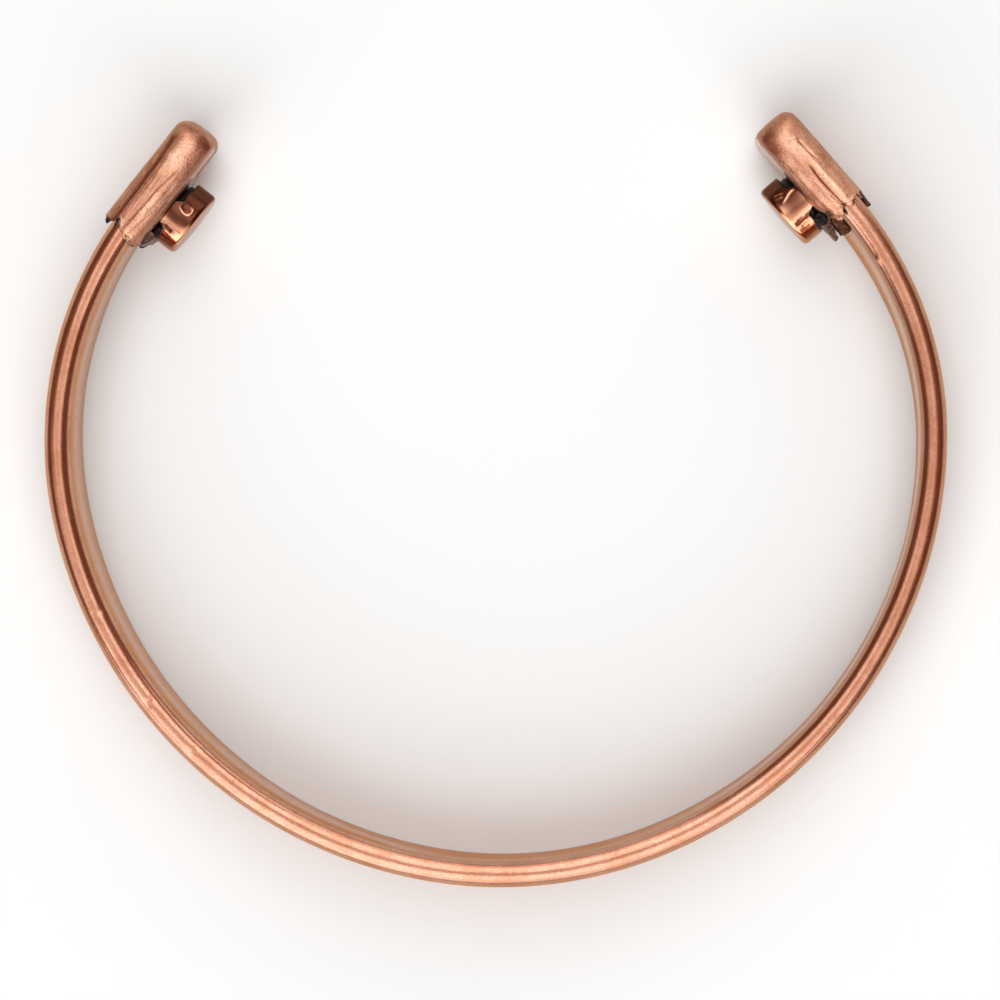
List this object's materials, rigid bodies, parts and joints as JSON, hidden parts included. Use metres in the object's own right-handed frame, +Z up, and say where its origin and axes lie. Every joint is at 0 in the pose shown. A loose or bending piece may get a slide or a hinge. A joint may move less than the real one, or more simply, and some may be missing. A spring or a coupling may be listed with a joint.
{
  "type": "copper magnetic cuff bracelet",
  "caption": "Open C-shaped copper cuff with folded sheet caps on its ends, each carrying a small cup with a disc magnet on the wrist side.",
  "frame": {"origin": "on the resting plane, under the middle of the object's box", "axes": "+Z up through the wrist opening, +Y from the closed side to the gap between the ends, +X across the wrist"},
  "size_m": [0.0682, 0.0586, 0.0088],
  "materials": {
    "band_copper": "bare copper, tumbled to a satin polish",
    "cap_copper": "bare copper sheet, satin, creased, dark at the mouth",
    "cup_copper": "bare copper, drawn and mirror polished",
    "magnet_black": "black, satin"
  },
  "bodies": {
    "root": {"band": "band_copper", "end_cap_left": "cap_copper", "end_cap_right": "cap_copper", "magnet_cup_left": "cup_copper", "magnet_cup_right": "cup_copper", "magnet_left": "magnet_black", "magnet_right": "magnet_black"}
  },
  "joints": []
}
